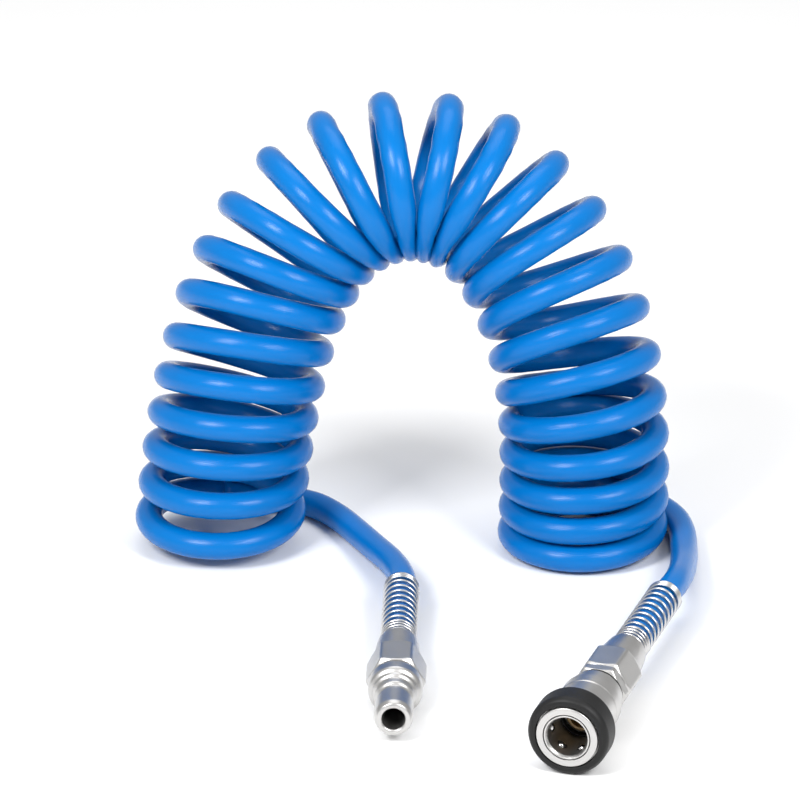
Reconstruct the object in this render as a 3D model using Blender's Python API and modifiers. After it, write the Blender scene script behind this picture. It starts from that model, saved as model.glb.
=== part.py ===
# Coiled polyurethane air hose with a male quick plug and a female quick coupler.
# Millimetres below, metres in the model. +Z is up and the table is z = 0.
# The origin is the middle of the plug side foot of the coil. The arch stands in the XZ plane,
# and both fittings lie in front of it, towards -Y.
import math

import bmesh
import bpy
from mathutils import Matrix, Vector

MM = 0.001
GAP = 0.3                  # between pieces that touch
ROUND_STEPS = 28           # facets around a turned piece

# hose
HOSE_OUTER = 8.0
HOSE_BORE = 5.0
COIL_OUTER = 50.0
COIL_SIDES = 6             # bevel resolution of the fat coil solids
# coil axis as (x, z), from the plug side foot over the top to the coupler side foot
ARCH_ROUTE = [
    (0.0, 0.0), (2.0, 21.1), (4.3, 38.2), (7.5, 55.1), (11.9, 71.8), (18.3, 87.8), (27.7, 102.1),
    (41.3, 112.6), (57.9, 116.4), (74.4, 111.9), (87.4, 100.8), (96.4, 86.2), (102.4, 70.0),
    (106.0, 53.2), (107.6, 36.1), (107.8, 18.8), (107.3, 0.0),
]
ARCH_JOINTS = [0.0, 0.26, 0.505, 0.76, 1.0]      # where the coil is split, as shares of its axis
COIL_NAMES = ["hose_coil_plug_leg", "hose_coil_plug_arch", "hose_coil_coupler_arch",
              "hose_coil_coupler_leg"]
# free tails, from behind the coil to the mouth of the spring guard
PLUG_TAIL = [
    (20.6, 21.3, 4.0), (28.6, 17.4, 4.0), (35.2, 9.2, 4.0), (41.0, -2.0, 4.3), (46.7, -15.0, 5.2),
    (51.8, -28.0, 6.6), (55.0, -40.0, 7.5),
]
COUPLER_TAIL = [
    (122.4, 25.4, 4.0), (129.6, 19.5, 4.0), (134.6, 11.0, 4.0), (136.8, 0.5, 4.1),
    (137.3, -11.5, 4.6), (137.2, -24.5, 6.1), (136.4, -38.0, 8.6), (134.6, -51.0, 11.0),
]
TAIL_POINTS = 12           # points on each tail's free stretch
COIL_END = 4.0             # straight stretch at the ends of each coil solid

# fittings: where the front face of each stands, and its turn about Z away from -Y
PLUG_FRONT = (55.5, -139.0)
PLUG_TURN = 0.0
COUPLER_FRONT = (104.0, -158.2)
COUPLER_TURN = -16.0

# male plug
NOSE_OUTER = 11.0
NOSE_FACE = 9.4
PLUG_BORE = 6.4
NOSE_LENGTH = 17.0
GROOVE_OUTER = 9.2
GROOVE_DEPTH_FROM_FRONT = 11.4
GROOVE_LENGTH = 3.0
COLLAR_OUTER = 15.4
COLLAR_LENGTH = 7.0

# hose connection, the same on both fittings
THREAD_OUTER = 12.0
THREAD_LENGTH = 10.0
STEM_OUTER = 4.4
STEM_BORE = 3.0
STEM_LENGTH = 16.0
NUT_ACROSS_FLATS = 15.0
NUT_CORNERS = 16.8
NUT_HEX = 13.0
NUT_BELL = 12.0
NUT_END_OUTER = 12.0
NUT_SEAT = 2.0             # depth of the guard's seat in the nut
GUARD_WIRE = 0.9
GUARD_CLEARANCE = 0.35     # guard to hose, on the radius
GUARD_LENGTH = 42.7
GUARD_TIGHT_TURNS = 5.0    # next to the nut
GUARD_TIGHT_PITCH = 1.7
GUARD_OPEN_TURNS = 8.5
GUARD_CLOSED_TURNS = 2.5   # at the hose end
GUARD_CLOSED_PITCH = 1.2
WIRE_POINTS = 12           # points in each turn of a spring
# the stem's tip lies this much of the guard's length from the guard's front end
STEM_OVER_GUARD = THREAD_LENGTH + STEM_LENGTH + NUT_SEAT - NUT_HEX - NUT_BELL

# female coupler
MOUTH_CLEARANCE = 0.2      # nose to mouth, on the radius
SOCKET_DEPTH = 17.8
GUIDE_WALL = 1.9           # socket wall where the sleeve slides
GUIDE_LENGTH = 9.2
NECK_WALL = 1.2            # socket wall under the sleeve spring
NECK_PAST_SOCKET = 2.2
REAR_STEP = 0.4            # rear of the body above the guide, on the radius
RING_WALL = 0.9            # socket wall under the mouth ring
RING_OVERLAP = 0.3         # mouth ring over the sleeve's recess, on the radius
RING_THICK = 1.7
BALL_COUNT = 6
BALL_OUTER = 2.6
BALL_PLANE = 5.6           # behind the mouth
BALL_REACH = 0.7           # how far a locked ball stands into the bore
SLEEVE_TRAVEL = 3.4
SLEEVE_WALL = 0.6
SLEEVE_FLANGE_WALL = 1.0
SLEEVE_FLANGE_LENGTH = 5.8
SLEEVE_LENGTH = 22.0
LAND_LENGTH = 3.9
SLEEVE_SPRING_WIRE = 0.7
SLEEVE_SPRING_TURNS = 5.0
BUMPER_WALL = 1.85
BUMPER_LIP = 1.2
SEAL_WIDTH = 2.0
SEAL_SECTION = 0.6
LIP_BORE = 9.2
LIP_LENGTH = 1.6
CHAMBER_BORE = 12.4
CHAMBER_LENGTH = 6.1       # from the valve lip to the adapter
POPPET_RIM_OUTER = 8.6
POPPET_RIM_BORE = 6.6
POPPET_STANDOUT = 3.6      # poppet's rim in front of the socket's floor
POPPET_HEAD_OUTER = 11.2
POPPET_HEAD_LENGTH = 1.4
POPPET_BOSS_OUTER = 6.0
POPPET_BOSS_LENGTH = 1.3
VALVE_SEAL_OUTER = 11.4
VALVE_SEAL_LENGTH = 0.9
VALVE_SPRING_WIRE = 0.6
VALVE_SPRING_TURNS = 5.0
ADAPTER_OVERLAP = 3.5      # adapter inside the body
ADAPTER_BORE = 9.2
ADAPTER_BORE_DEPTH = 5.8
ADAPTER_ACROSS_FLATS = 14.6
ADAPTER_CORNERS = 16.4
ADAPTER_HEX = 3.4
GASKET_THICK = 1.0


def clear_scene():
    for obj in list(bpy.data.objects):
        bpy.data.objects.remove(obj, do_unlink=True)


def new_collection(name):
    collection = bpy.data.collections.new(name)
    bpy.context.scene.collection.children.link(collection)
    return collection


clear_scene()
PARTS = new_collection("coiled_air_hose")
CUTTERS = new_collection("cutters")


def finish(name, color, roughness, metallic):
    """A Principled material with one colour."""
    material = bpy.data.materials.new(name)
    material.use_nodes = True
    shader = material.node_tree.nodes["Principled BSDF"]
    shader.inputs["Base Color"].default_value = (*color, 1.0)
    shader.inputs["Roughness"].default_value = roughness
    shader.inputs["Metallic"].default_value = metallic
    return material


def blue_hose(name):
    return finish(name, (0.0, 0.24, 0.75), 0.22, 0.0)


def nickel(name):
    return finish(name, (0.72, 0.71, 0.69), 0.25, 1.0)


def spring_steel(name):
    return finish(name, (0.66, 0.66, 0.67), 0.3, 1.0)


def black_rubber(name):
    return finish(name, (0.02, 0.02, 0.022), 0.6, 0.0)


def add_object(name, mesh, parent=None, collection=PARTS):
    obj = bpy.data.objects.new(name, mesh)
    collection.objects.link(obj)
    obj.parent = parent
    return obj


def turned(name, profile, parent, collection=PARTS, steps=ROUND_STEPS):
    """A ring turned about local Z from a closed profile of (diameter, z), outer side first."""
    mesh = bpy.data.meshes.new(name)
    vertices = [(diameter / 2 * MM, 0.0, z * MM) for diameter, z in profile]
    edges = [(i, (i + 1) % len(profile)) for i in range(len(profile))]
    mesh.from_pydata(vertices, edges, [])
    obj = add_object(name, mesh, parent, collection)
    screw = obj.modifiers.new("turn", "SCREW")
    screw.axis = "Z"
    screw.angle = math.tau
    screw.steps = steps
    screw.render_steps = steps
    screw.use_merge_vertices = True
    screw.merge_threshold = 0.00001
    screw.use_smooth_shade = True
    return obj


def cut(obj, cutter, operation="DIFFERENCE"):
    cutter.hide_render = True
    cutter.display_type = "WIRE"
    boolean = obj.modifiers.new(operation.lower(), "BOOLEAN")
    boolean.operation = operation
    boolean.solver = "EXACT"
    boolean.object = cutter


def prism(name, across_flats, top, bottom, parent):
    """A hexagonal cutter about local Z, with a flat facing down."""
    mesh = bpy.data.meshes.new(name)
    shape = bmesh.new()
    bmesh.ops.create_cone(
        shape, cap_ends=True, segments=6, radius1=across_flats / math.sqrt(3) * MM,
        radius2=across_flats / math.sqrt(3) * MM, depth=(top - bottom) * MM)
    lay = Matrix.Translation((0, 0, (top + bottom) / 2 * MM)) @ Matrix.Rotation(math.pi / 6, 4, "Z")
    bmesh.ops.transform(shape, matrix=lay, verts=shape.verts)
    shape.to_mesh(mesh)
    shape.free()
    return add_object(name, mesh, parent, CUTTERS)


def cross_drill(name, diameter, z, count, inner, outer, parent):
    """A cutter of radial rods between two radii, evenly spaced about local Z."""
    mesh = bpy.data.meshes.new(name)
    shape = bmesh.new()
    for number in range(count):
        rod = bmesh.ops.create_cone(
            shape, cap_ends=True, segments=16, radius1=diameter / 2 * MM,
            radius2=diameter / 2 * MM, depth=(outer - inner) * MM)["verts"]
        turn = Matrix.Rotation(math.tau * number / count, 4, "Z")
        outward = Matrix.Translation(((inner + outer) / 2 * MM, 0, z * MM))
        lay = turn @ outward @ Matrix.Rotation(math.pi / 2, 4, "Y")
        bmesh.ops.transform(shape, matrix=lay, verts=rod)
    shape.to_mesh(mesh)
    shape.free()
    return add_object(name, mesh, parent, CUTTERS)


def wire(name, points, diameter, parent=None, resolution=2):
    """A round bar along a list of points in millimetres, with closed ends."""
    curve = bpy.data.curves.new(name, "CURVE")
    curve.dimensions = "3D"
    curve.bevel_depth = diameter / 2 * MM
    curve.bevel_resolution = resolution
    curve.use_fill_caps = True
    spline = curve.splines.new("POLY")
    spline.points.add(len(points) - 1)
    for point, place in zip(spline.points, points):
        point.co = (*(Vector(place) * MM), 1.0)
    return add_object(name, curve, parent)


def smooth_route(points, before, after, steps=24):
    """A Catmull-Rom curve through the points; before and after steer its two ends."""
    knots = [Vector(p) for p in [before, *points, after]]
    route = []
    for a, b, c, d in zip(knots, knots[1:], knots[2:], knots[3:]):
        for step in range(steps):
            t = step / steps
            route.append(0.5 * (2 * b + (c - a) * t + (2 * a - 5 * b + 4 * c - d) * t ** 2
                                + (3 * b - a - 3 * c + d) * t ** 3))
    route.append(knots[-2])
    return route


def stretch(route, start, end, count):
    """Evenly spaced points on a route between two distances along it."""
    lengths = [0.0]
    for a, b in zip(route, route[1:]):
        lengths.append(lengths[-1] + (b - a).length)
    result = []
    for number in range(count):
        wanted = start + (end - start) * number / (count - 1)
        index = max(i for i in range(len(route) - 1) if lengths[i] <= wanted or i == 0)
        share = (wanted - lengths[index]) / (lengths[index + 1] - lengths[index])
        result.append(route[index].lerp(route[index + 1], share))
    return result


def route_length(route):
    return sum((b - a).length for a, b in zip(route, route[1:]))


def spring_points(mean, turns_and_pitches, top):
    """Points down a spring whose stretches each have their own turns and pitch."""
    points = []
    turn, z = 0.0, top
    for turns, pitch in turns_and_pitches:
        count = round(turns * WIRE_POINTS)
        for _ in range(count):
            angle = math.tau * turn
            points.append((mean / 2 * math.cos(angle), mean / 2 * math.sin(angle), z))
            turn += turns / count
            z -= pitch * turns / count
    angle = math.tau * turn
    points.append((mean / 2 * math.cos(angle), mean / 2 * math.sin(angle), z))
    return points


def fitting_datum(name, front, turn, height):
    """An empty on a fitting's front face, with local +Z pointing out of the fitting."""
    datum = add_object(name, None)
    datum.location = (front[0] * MM, front[1] * MM, height * MM)
    datum.rotation_euler = (math.radians(90), 0.0, math.radians(turn))
    return datum


def fitting_axis(front, turn, height, distance):
    """The point on a fitting's axis at a distance behind its front face."""
    angle = math.radians(turn)
    return (front[0] - distance * math.sin(angle), front[1] + distance * math.cos(angle), height)


def point_at(route, distance):
    return stretch(route, distance, distance + 1.0, 2)[0]


def coil():
    """The wound hose as fat solids of the coil's outer diameter, square to each other where
    they meet and flat where they stand on the table."""
    points = [(x, 0.0, z) for x, z in ARCH_ROUTE]
    under_start = (points[1][0], 0.0, -points[1][2])
    under_end = (points[-2][0], 0.0, -points[-2][2])
    route = smooth_route(points, under_start, under_end)
    total = route_length(route)
    distances = [share * total for share in ARCH_JOINTS]
    headings = [(point_at(route, d + 1.0) - point_at(route, d - 1.0)).normalized()
                for d in distances[1:-1]]
    headings = [Vector((0, 0, 1)), *headings, Vector((0, 0, -1))]
    for number, name in enumerate(COIL_NAMES):
        start, end = distances[number], distances[number + 1]
        first_gap = GAP / 2 if number > 0 else 0.0
        last_gap = GAP / 2 if number + 1 < len(COIL_NAMES) else 0.0
        first = [point_at(route, start) + headings[number] * reach
                 for reach in (first_gap, COIL_END)]
        last = [point_at(route, end) - headings[number + 1] * reach
                for reach in (COIL_END, last_gap)]
        middle = stretch(route, start + 2 * COIL_END, end - 2 * COIL_END, 7)
        solid = wire(name, [*first, *middle, *last], COIL_OUTER, resolution=COIL_SIDES)
        solid.data.materials.append(blue_hose(name))


def tail(name, free_points, front, turn, height, stem_tip):
    """A plain tube from behind the coil, through the guard, to the tip of the hose stem."""
    guard_end = fitting_axis(front, turn, height, stem_tip + GUARD_LENGTH - STEM_OVER_GUARD)
    inner_end = fitting_axis(front, turn, height, stem_tip + GAP)
    first = Vector(free_points[0])
    before = first - (Vector(free_points[1]) - first)
    route = smooth_route([*free_points, guard_end], before, inner_end)
    points = stretch(route, 0.0, route_length(route), TAIL_POINTS)
    solid = wire(name, [*points, inner_end], HOSE_OUTER)
    solid.data.materials.append(blue_hose(name))


def hose_grip(name, thread_end, datum):
    """The end of the hose, pushed over the stem inside the nut."""
    top, bottom = -thread_end - GAP, -thread_end - STEM_LENGTH
    profile = [(HOSE_OUTER, top), (HOSE_OUTER, bottom), (HOSE_BORE, bottom), (HOSE_BORE, top)]
    turned(name, profile, datum).data.materials.append(blue_hose(name))


def stem_end(thread_end):
    """The profile of the hose stem with its barbs, from the thread to the tip."""
    barb = 0.3
    profile = [(THREAD_OUTER, -thread_end), (STEM_OUTER, -thread_end)]
    for number in range(3):
        z = -thread_end - 3.0 - 4.0 * number
        profile += [(STEM_OUTER, z), (STEM_OUTER - barb, z - 0.2)]
    profile += [(STEM_OUTER - barb, -thread_end - STEM_LENGTH)]
    profile += [(STEM_BORE, -thread_end - STEM_LENGTH)]
    return profile


def cap_nut(name, front_z, datum):
    """The hexagonal nut with a bell that tapers to the spring guard's seat."""
    hex_end = front_z - NUT_HEX
    end = hex_end - NUT_BELL
    thread_clear = THREAD_OUTER + 2 * GAP
    hose_clear = HOSE_OUTER + 2 * GUARD_CLEARANCE
    seat = guard_outer() + 2 * GAP
    thread_end = front_z + GAP - THREAD_LENGTH
    profile = [
        (NUT_ACROSS_FLATS - 0.4, front_z), (NUT_CORNERS, front_z - 1.0),
        (NUT_CORNERS, hex_end + 1.2), (NUT_ACROSS_FLATS - 0.4, hex_end),
        (NUT_ACROSS_FLATS - 1.4, hex_end - 1.5), (NUT_END_OUTER + 0.4, end + 2.5),
        (NUT_END_OUTER, end), (seat, end), (seat, end + NUT_SEAT), (hose_clear, end + NUT_SEAT),
        (hose_clear, thread_end - 3.0), (thread_clear, thread_end - 1.0), (thread_clear, front_z),
    ]
    nut = turned(name, profile, datum)
    cut(nut, prism(name + "_hex", NUT_ACROSS_FLATS, front_z + 1, end - 1, datum), "INTERSECT")
    nut.data.materials.append(nickel(name))


def guard_outer():
    return HOSE_OUTER + 2 * GUARD_CLEARANCE + 2 * GUARD_WIRE


def spring_guard(name, nut_end, datum):
    """The bend guard, tight at the nut, open in the middle and closed at its end."""
    mean = guard_outer() - GUARD_WIRE
    tight = GUARD_TIGHT_TURNS * GUARD_TIGHT_PITCH
    closed = GUARD_CLOSED_TURNS * GUARD_CLOSED_PITCH
    open_pitch = (GUARD_LENGTH - GUARD_WIRE - tight - closed) / GUARD_OPEN_TURNS
    sections = [(GUARD_TIGHT_TURNS, GUARD_TIGHT_PITCH), (GUARD_OPEN_TURNS, open_pitch),
                (GUARD_CLOSED_TURNS, GUARD_CLOSED_PITCH)]
    top = -nut_end + NUT_SEAT - GAP - GUARD_WIRE / 2
    guard = wire(name, spring_points(mean, sections, top), GUARD_WIRE, datum)
    guard.data.materials.append(spring_steel(name))


def plug_body(datum):
    """Nose, locking groove, collar, thread and stem, bored through."""
    thread_start = NOSE_LENGTH + COLLAR_LENGTH
    thread_end = thread_start + THREAD_LENGTH
    groove_top = -GROOVE_DEPTH_FROM_FRONT + GROOVE_LENGTH / 2
    slope = NOSE_OUTER - GROOVE_OUTER
    profile = [
        (NOSE_FACE, 0.0), (NOSE_OUTER - 0.4, -0.6), (NOSE_OUTER, -1.6), (NOSE_OUTER, groove_top),
        (GROOVE_OUTER, groove_top - slope / 2), (GROOVE_OUTER, groove_top - GROOVE_LENGTH),
        (NOSE_OUTER, groove_top - GROOVE_LENGTH - slope / 2), (NOSE_OUTER, -NOSE_LENGTH + 1.0),
        (NOSE_OUTER + 1.6, -NOSE_LENGTH), (COLLAR_OUTER, -NOSE_LENGTH - 1.6),
        (COLLAR_OUTER, -thread_start + 1.0), (COLLAR_OUTER - 1.6, -thread_start),
        (THREAD_OUTER, -thread_start), *stem_end(thread_end),
        (STEM_BORE, -thread_end + 1.0), (PLUG_BORE, -thread_end + 4.0), (PLUG_BORE, 0.0),
    ]
    turned("plug_body", profile, datum).data.materials.append(nickel("plug_body"))
    return thread_start, thread_end


def plug():
    height = COLLAR_OUTER / 2
    datum = fitting_datum("plug_datum", PLUG_FRONT, PLUG_TURN, height)
    thread_start, thread_end = plug_body(datum)
    nut_front = thread_start + GAP
    cap_nut("plug_cap_nut", -nut_front, datum)
    spring_guard("plug_spring_guard", nut_front + NUT_HEX + NUT_BELL, datum)
    hose_grip("hose_grip_plug", thread_end, datum)
    tail("hose_tail_plug", PLUG_TAIL, PLUG_FRONT, PLUG_TURN, height, thread_end + STEM_LENGTH)


def mouth_bore():
    return NOSE_OUTER + 2 * MOUTH_CLEARANCE


def ring_seat():
    return mouth_bore() + 2 * RING_WALL


def body_guide_outer():
    return mouth_bore() + 2 * GUIDE_WALL


def body_neck_outer():
    return mouth_bore() + 2 * NECK_WALL


def body_rear_outer():
    return body_guide_outer() + 2 * REAR_STEP


def neck_end():
    return SOCKET_DEPTH + NECK_PAST_SOCKET


def ball_circle():
    """Radius of the circle of ball centres when the balls are locked."""
    return mouth_bore() / 2 - BALL_REACH + BALL_OUTER / 2


def sleeve_land():
    return 2 * (ball_circle() + BALL_OUTER / 2 + GAP)


def sleeve_recess():
    return sleeve_land() + 2 * BALL_REACH


def sleeve_chamber():
    return body_rear_outer() + 2 * GAP


def sleeve_outer():
    return sleeve_chamber() + 2 * SLEEVE_WALL


def sleeve_flange_outer():
    return sleeve_recess() + 2 * SLEEVE_FLANGE_WALL


def ring_outer():
    return sleeve_recess() + 2 * RING_OVERLAP


def bumper_outer():
    return sleeve_flange_outer() + 2 * GAP + 2 * BUMPER_WALL


def lip_back():
    return SOCKET_DEPTH + LIP_LENGTH


def adapter_front():
    return lip_back() + CHAMBER_LENGTH


def adapter_bore_end():
    return adapter_front() + ADAPTER_BORE_DEPTH


def body_length():
    return adapter_front() + ADAPTER_OVERLAP


def coupler_body(datum):
    """Socket with ball holes, seal groove, valve lip and valve chamber."""
    bore = mouth_bore()
    seal_top = SOCKET_DEPTH - 1.5 - SEAL_WIDTH - 2 * GAP
    seal_bottom = SOCKET_DEPTH - 1.5
    seal_groove = bore + 2 * SEAL_SECTION
    seat, guide, neck, rear = ring_seat(), body_guide_outer(), body_neck_outer(), body_rear_outer()
    profile = [
        (seat, 0.0), (seat, -RING_THICK - GAP), (guide, -RING_THICK - GAP),
        (guide, -GUIDE_LENGTH), (neck, -GUIDE_LENGTH), (neck, -neck_end()),
        (rear, -neck_end()), (rear, -body_length()),
        (CHAMBER_BORE, -body_length()), (CHAMBER_BORE, -lip_back()), (LIP_BORE, -lip_back()),
        (LIP_BORE, -SOCKET_DEPTH), (bore, -SOCKET_DEPTH), (bore, -seal_bottom),
        (seal_groove, -seal_bottom), (seal_groove, -seal_top), (bore, -seal_top),
        (bore, -0.8), (bore + 1.0, 0.0),
    ]
    body = turned("coupler_body", profile, datum)
    holes = cross_drill("ball_holes", BALL_OUTER + 0.4, -BALL_PLANE, BALL_COUNT, bore / 2 - 1.2,
                        guide, datum)
    cut(body, holes)
    body.data.materials.append(nickel("coupler_body"))


def mouth_ring(datum):
    """Ring on the socket's end that stops the sleeve from sliding off."""
    inner = ring_seat() + 2 * GAP
    profile = [(ring_outer(), 0.0), (ring_outer(), -RING_THICK), (inner, -RING_THICK), (inner, 0.0)]
    turned("mouth_ring", profile, datum).data.materials.append(nickel("mouth_ring"))


def locking_balls(datum):
    for number in range(BALL_COUNT):
        name = f"locking_ball_{number + 1}"
        mesh = bpy.data.meshes.new(name)
        shape = bmesh.new()
        bmesh.ops.create_uvsphere(shape, u_segments=12, v_segments=8, radius=BALL_OUTER / 2 * MM)
        shape.to_mesh(mesh)
        shape.free()
        mesh.shade_smooth()
        ball = add_object(name, mesh, datum)
        angle = math.tau * number / BALL_COUNT
        ball.location = (ball_circle() * math.cos(angle) * MM, ball_circle() * math.sin(angle) * MM,
                         -BALL_PLANE * MM)
        mesh.materials.append(spring_steel(name))


def sleeve_front():
    return RING_THICK + GAP


def sleeve(datum):
    """Sliding sleeve: its taper lets the balls out as it is drawn back."""
    front = -sleeve_front()
    flange_end = front - SLEEVE_FLANGE_LENGTH
    end = front - SLEEVE_LENGTH
    taper_start = -BALL_PLANE + SLEEVE_TRAVEL
    land_end = -BALL_PLANE - LAND_LENGTH
    flange, outer, chamber = sleeve_flange_outer(), sleeve_outer(), sleeve_chamber()
    profile = [
        (flange, front), (flange, flange_end), (outer, flange_end), (outer, end),
        (chamber, end), (chamber, land_end), (sleeve_land(), land_end),
        (sleeve_land(), -BALL_PLANE), (sleeve_recess(), taper_start), (sleeve_recess(), front),
    ]
    turned("coupler_sleeve", profile, datum).data.materials.append(nickel("coupler_sleeve"))


def bumper(datum):
    """Rubber ring that wraps the sleeve's flange and protects its front edge."""
    front = -GAP
    wall = -sleeve_front() + GAP
    flange_end = -sleeve_front() - SLEEVE_FLANGE_LENGTH
    lip_top = flange_end - GAP
    end = lip_top - BUMPER_LIP
    over_flange = sleeve_flange_outer() + 2 * GAP
    outer = bumper_outer()
    profile = [
        (outer - 2.0, front), (outer - 0.6, front - 0.4), (outer, front - 1.2),
        (outer, end + 0.8), (outer - 0.8, end), (sleeve_outer() + 2 * GAP, end),
        (sleeve_outer() + 2 * GAP, lip_top), (over_flange, lip_top), (over_flange, wall),
        (ring_outer() + 2 * GAP, wall), (ring_outer() + 2 * GAP, front),
    ]
    turned("coupler_bumper", profile, datum).data.materials.append(black_rubber("coupler_bumper"))


def sleeve_spring(datum):
    top = -BALL_PLANE - LAND_LENGTH - GAP - SLEEVE_SPRING_WIRE / 2
    bottom = -neck_end() + GAP + SLEEVE_SPRING_WIRE / 2
    mean = (body_neck_outer() + body_rear_outer() + 2 * GAP) / 2
    pitch = (top - bottom) / SLEEVE_SPRING_TURNS
    points = spring_points(mean, [(SLEEVE_SPRING_TURNS, pitch)], top)
    spring = wire("sleeve_spring", points, SLEEVE_SPRING_WIRE, datum)
    spring.data.materials.append(spring_steel("sleeve_spring"))


def mouth_seal(datum):
    outer = mouth_bore() + 2 * SEAL_SECTION - 2 * GAP
    inner = outer - 2 * SEAL_SECTION
    top = -(SOCKET_DEPTH - 1.5 - SEAL_WIDTH - GAP)
    profile = [(outer, top), (outer, top - SEAL_WIDTH), (inner, top - SEAL_WIDTH), (inner, top)]
    turned("mouth_seal", profile, datum).data.materials.append(black_rubber("mouth_seal"))


def poppet_front():
    return SOCKET_DEPTH - POPPET_STANDOUT


def head_front():
    return lip_back() + 2 * GAP + VALVE_SEAL_LENGTH + GAP / 2


def valve(datum):
    """Poppet that the plug's nose pushes back, its seal and its spring."""
    head_end = head_front() + POPPET_HEAD_LENGTH
    boss_end = head_end + POPPET_BOSS_LENGTH
    blind = head_front() - 1.2
    outline = [
        (POPPET_RIM_OUTER, -poppet_front()), (POPPET_RIM_OUTER, -head_front()),
        (POPPET_HEAD_OUTER, -head_front()), (POPPET_HEAD_OUTER, -head_end),
        (POPPET_BOSS_OUTER, -head_end), (POPPET_BOSS_OUTER, -boss_end),
    ]
    solid = [(0.0, -boss_end)]
    socket = [(0.0, -blind), (POPPET_RIM_BORE, -blind), (POPPET_RIM_BORE, -poppet_front())]
    poppet = turned("valve_poppet", [*outline, *solid, *socket], datum)
    ports = cross_drill("poppet_ports", 1.6, -poppet_front() - 3.0, 4, 2.4, POPPET_HEAD_OUTER,
                        datum)
    cut(poppet, ports)
    poppet.data.materials.append(finish("valve_poppet", (0.75, 0.6, 0.3), 0.35, 1.0))

    seal_top = -lip_back() - GAP
    seal_bottom = seal_top - VALVE_SEAL_LENGTH
    inner = POPPET_RIM_OUTER + 2 * GAP
    ring = [(VALVE_SEAL_OUTER, seal_top), (VALVE_SEAL_OUTER, seal_bottom), (inner, seal_bottom),
            (inner, seal_top)]
    turned("valve_seal", ring, datum).data.materials.append(black_rubber("valve_seal"))

    top = -head_end - GAP - VALVE_SPRING_WIRE / 2
    bottom = -adapter_bore_end() + GAP + VALVE_SPRING_WIRE / 2
    mean = (POPPET_BOSS_OUTER + ADAPTER_BORE) / 2
    pitch = (top - bottom) / VALVE_SPRING_TURNS
    points = spring_points(mean, [(VALVE_SPRING_TURNS, pitch)], top)
    spring = wire("valve_spring", points, VALVE_SPRING_WIRE, datum)
    spring.data.materials.append(spring_steel("valve_spring"))


def hex_front():
    return body_length() + 2 * GAP + GASKET_THICK


def adapter(datum):
    """Rear adapter: threads into the body, takes the cap nut and holds the hose."""
    thread_start = hex_front() + ADAPTER_HEX
    thread_end = thread_start + THREAD_LENGTH
    front_thread = CHAMBER_BORE - 2 * GAP
    profile = [
        (front_thread, -adapter_front()), (front_thread, -hex_front()),
        (ADAPTER_ACROSS_FLATS - 0.4, -hex_front()), (ADAPTER_CORNERS, -hex_front() - 0.8),
        (ADAPTER_CORNERS, -thread_start), (THREAD_OUTER, -thread_start), *stem_end(thread_end),
        (STEM_BORE, -adapter_bore_end()), (ADAPTER_BORE, -adapter_bore_end()),
        (ADAPTER_BORE, -adapter_front()),
    ]
    piece = turned("coupler_adapter", profile, datum)
    hexagon = prism("adapter_hex", ADAPTER_ACROSS_FLATS, -adapter_front() + 1,
                    -thread_end - STEM_LENGTH - 1, datum)
    cut(piece, hexagon, "INTERSECT")
    piece.data.materials.append(nickel("coupler_adapter"))

    top = -body_length() - GAP
    inner = front_thread + 2 * GAP
    outer = body_rear_outer() - 0.8
    ring = [(outer, top), (outer, top - GASKET_THICK), (inner, top - GASKET_THICK), (inner, top)]
    turned("adapter_gasket", ring, datum).data.materials.append(black_rubber("adapter_gasket"))
    return thread_start, thread_end


def coupler():
    height = bumper_outer() / 2
    datum = fitting_datum("coupler_datum", COUPLER_FRONT, COUPLER_TURN, height)
    coupler_body(datum)
    mouth_ring(datum)
    locking_balls(datum)
    sleeve(datum)
    bumper(datum)
    sleeve_spring(datum)
    mouth_seal(datum)
    valve(datum)
    thread_start, thread_end = adapter(datum)
    nut_front = thread_start + GAP
    cap_nut("coupler_cap_nut", -nut_front, datum)
    spring_guard("coupler_spring_guard", nut_front + NUT_HEX + NUT_BELL, datum)
    hose_grip("hose_grip_coupler", thread_end, datum)
    tail("hose_tail_coupler", COUPLER_TAIL, COUPLER_FRONT, COUPLER_TURN, height,
         thread_end + STEM_LENGTH)


coil()
plug()
coupler()
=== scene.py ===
import math

import bmesh
import bpy
from mathutils import Matrix, Vector


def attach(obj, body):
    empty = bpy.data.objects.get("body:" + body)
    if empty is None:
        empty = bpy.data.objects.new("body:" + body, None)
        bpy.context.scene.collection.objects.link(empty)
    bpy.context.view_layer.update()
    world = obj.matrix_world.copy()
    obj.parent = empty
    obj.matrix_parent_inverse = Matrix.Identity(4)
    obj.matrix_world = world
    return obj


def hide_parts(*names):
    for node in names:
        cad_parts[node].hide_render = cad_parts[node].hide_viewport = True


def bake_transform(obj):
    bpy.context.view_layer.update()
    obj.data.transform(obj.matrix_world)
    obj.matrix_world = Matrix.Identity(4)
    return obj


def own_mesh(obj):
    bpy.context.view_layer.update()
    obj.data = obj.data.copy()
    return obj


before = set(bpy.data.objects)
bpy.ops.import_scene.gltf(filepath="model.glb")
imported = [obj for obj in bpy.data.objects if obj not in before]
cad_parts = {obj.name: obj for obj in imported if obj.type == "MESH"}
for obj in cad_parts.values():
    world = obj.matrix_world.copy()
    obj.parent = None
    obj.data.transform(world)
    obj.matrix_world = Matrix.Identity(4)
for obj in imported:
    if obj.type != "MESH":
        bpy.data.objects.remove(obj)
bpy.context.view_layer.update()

mm = 0.001
scene = bpy.context.scene
workshop = bpy.data.collections.new("hosePieces")
scene.collection.children.link(workshop)


# camera
view = {
    "target": (53.7, 0.0, 45.8),
    "azimuth": 1.5,
    "elevation": 23.0,
    "distance": 2500.0,
    "lens": 384.2,
}


def direction(azimuth, elevation):
    # azimuth 0 is in front of the hose, on -Y, and grows towards +X
    azimuth, elevation = math.radians(azimuth), math.radians(elevation)
    level = math.cos(elevation)
    return Vector((math.sin(azimuth) * level, -math.cos(azimuth) * level, math.sin(elevation)))


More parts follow.
